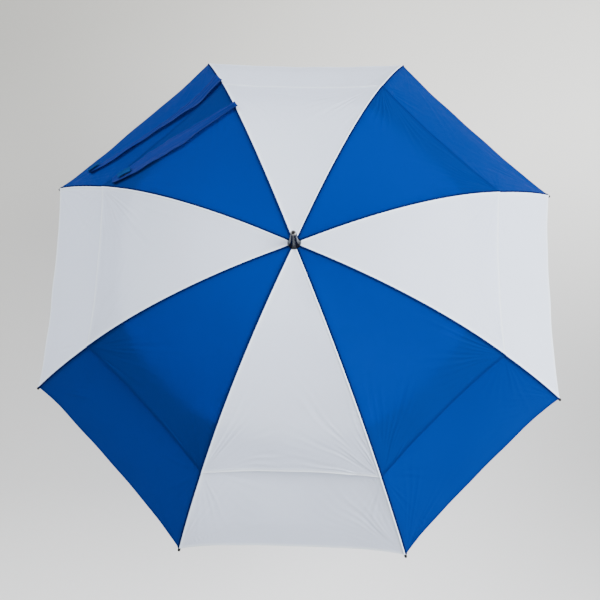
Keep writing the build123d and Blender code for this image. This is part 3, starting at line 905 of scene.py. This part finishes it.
def grip_profile():
    """Outer line of the foam from its foot to its shoulder, with ring grooves in the upper part, and
    then its bore."""
    line = [(SHAFT_R - 1.0 * MM, bottom_z), (GRIP_R - FOOT_ROUND, bottom_z)]
    for k in range(1, 6):
        turn = k * math.pi / 10
        radius = GRIP_R - FOOT_ROUND * (1 - math.sin(turn))
        line.append((radius, bottom_z + FOOT_ROUND * (1 - math.cos(turn))))
    for z in np.arange(bottom_z + 3 * MM, SHOULDER, 0.75 * MM):
        waist = WAIST * math.sin(math.pi * (z - bottom_z) / (GROOVE_FROM - bottom_z)) ** 2
        radius = GRIP_R - (waist if z < GROOVE_FROM else 0)
        if GROOVE_FROM <= z <= GROOVE_TO:
            wave = math.cos(2 * math.pi * (z - GROOVE_FROM) / GROOVE_PITCH)
            radius -= GROOVE_DEPTH * max(0.0, wave) ** 3
        line.append((radius, z))
    reach = GRIP_R - (SHAFT_R + NOSE_WALL)
    for k in range(13):
        turn = k * math.pi / 24
        radius = GRIP_R - reach * (1 - math.cos(turn))
        line.append((radius, SHOULDER + SHOULDER_HEIGHT * math.sin(turn)))
    line.append((SHAFT_R + 0.1 * MM, top_z - 0.3 * MM))
    line.append((SHAFT_R + 0.1 * MM, bottom_z + 13 * MM))
    line.append((SHAFT_R - 1.0 * MM, bottom_z + 12 * MM))
    return line


grip = lathe("grip_foam_sleeve", grip_profile())
paint(grip, FOAM)
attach(grip, "shaft_assembly")
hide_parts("grip")

# A thin domed button over the ferrule's metal end: (radius, height) in millimetres from that end
BUTTON = ((0.4, 0.55), (1.8, 0.48), (2.9, 0.25), (3.5, -0.2), (3.5, -1.0), (0.4, -1.0))
button_profile = [(radius * MM, height * MM) for radius, height in BUTTON]
tip_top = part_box("ferrule_tip")[1].z
button = lathe("ferrule_button", button_profile, segments=48, centre_z=tip_top)
paint(button, GLOSS)
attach(button, "shaft_assembly")

# ---------------------------------------------------------------- floor, light and camera
FLOOR = 9.0  # half the floor's width
# Painted soft shadows on the paper: where, how far they reach, and how much light is left in them
FLOOR_SHADOWS = (
    (1.1, -0.25, 1.15, 0.45),
    (-1.3, 1.2, 1.8, 0.55),
    (-1.4, -0.3, 0.8, 0.86),
)
floor_mesh = bpy.data.meshes.new("floor")
floor_mesh.from_pydata(
    [(-FLOOR, -FLOOR, 0), (FLOOR, -FLOOR, 0), (FLOOR, FLOOR, 0), (-FLOOR, FLOOR, 0)],
    [],
    [(0, 1, 2, 3)],
)
floor = bpy.data.objects.new("floor", floor_mesh)
bpy.context.scene.collection.objects.link(floor)


def paper():
    """Pale paper with painted light and shade: painted lighter toward the front, and with painted
    soft shadows as darker patches.
    """
    n = Nodes("floor_paper")
    place = n.add("TexCoord").outputs["Object"]
    axes = n.add("SeparateXYZ", {0: place})
    # Painted light: the paper is lighter toward the front and a little toward the right, and darker
    # toward the back.
    slope = n.math("SUBTRACT", n.math("MULTIPLY", axes.outputs[0], 0.22), axes.outputs[1])
    tint = n.mix(n.ramp(slope, -1.3, 1.3), rgba(0.58, 0.57, 0.53), rgba(0.93, 0.93, 0.93))
    # Each patch is a painted soft shadow that multiplies the paper's colour.
    for x, y, reach, left in FLOOR_SHADOWS:
        centre = (x, y, 0.0)
        away = n.add("VectorMath", {0: place, 1: centre}, operation="DISTANCE").outputs["Value"]
        limits = {0: away, 1: 0.0, 2: reach, 3: left, 4: 1.0}
        shade = n.add("MapRange", limits, interpolation_type="SMOOTHSTEP").outputs[0]
        grey = n.add("CombineColor", {0: shade, 1: shade, 2: shade}).outputs[0]
        tint = n.mix(1.0, tint, grey, blend="MULTIPLY")
    speckle = n.ramp(n.noise(place, 60.0, 4.0), 0.3, 0.7, 0.0, 0.03)
    tint = n.mix(speckle, tint, rgba(0.5, 0.5, 0.49))
    looks = {"Base Color": tint, "Roughness": 0.9, "Specular IOR Level": 0.1}
    return n.finish(n.add("BsdfPrincipled", looks))


paint(floor, paper())


def area_light(name, place, target, size, power, colour):
    """A square light that faces its target."""
    data = bpy.data.lights.new(name, "AREA")
    data.shape = "SQUARE"
    data.size = size
    data.energy = power
    data.color = colour
    lamp = bpy.data.objects.new(name, data)
    lamp.location = place
    lamp.rotation_euler = (Vector(target) - Vector(place)).to_track_quat("-Z", "Y").to_euler()
    bpy.context.scene.collection.objects.link(lamp)


area_light("right_softbox", (3.4, 0.1, 3.0), (0.1, 0, 0.6), 2.8, 470, (0.975, 0.988, 1.0))
area_light("left_softbox", (-3.0, 1.9, 3.0), (-0.1, 0, 0.6), 2.8, 185, (0.98, 0.99, 1.0))
area_light("overhead", (0.6, -0.3, 4.8), (0, 0, 0), 3.2, 70, (1.0, 1.0, 1.0))

world = bpy.data.worlds.new("studio")
world.use_nodes = True
world.node_tree.nodes["Background"].inputs["Color"].default_value = rgba(0.93, 0.94, 0.95)
world.node_tree.nodes["Background"].inputs["Strength"].default_value = 0.72
bpy.context.scene.world = world

# The camera looks down on the canopy from a little in front of it. It was fitted to the rib tips,
# the hub and the ferrule.
CAMERA_TURN = [math.radians(a) for a in (-15.649, -1.651, -1.538)]
CAMERA_PLACE = (0.0757, -0.5876, 2.6326)
camera_data = bpy.data.cameras.new("camera")
camera_data.sensor_width = 36.0
camera_data.lens = 51.99
camera_data.clip_end = 50.0
camera = bpy.data.objects.new("camera", camera_data)
look = (
    Matrix.Rotation(CAMERA_TURN[0], 3, "X")
    @ Matrix.Rotation(CAMERA_TURN[1], 3, "Y")
    @ Matrix.Rotation(CAMERA_TURN[2], 3, "Z")
).transposed()
camera.matrix_world = Matrix.Translation(CAMERA_PLACE) @ look.to_4x4()
bpy.context.scene.collection.objects.link(camera)
bpy.context.scene.camera = camera
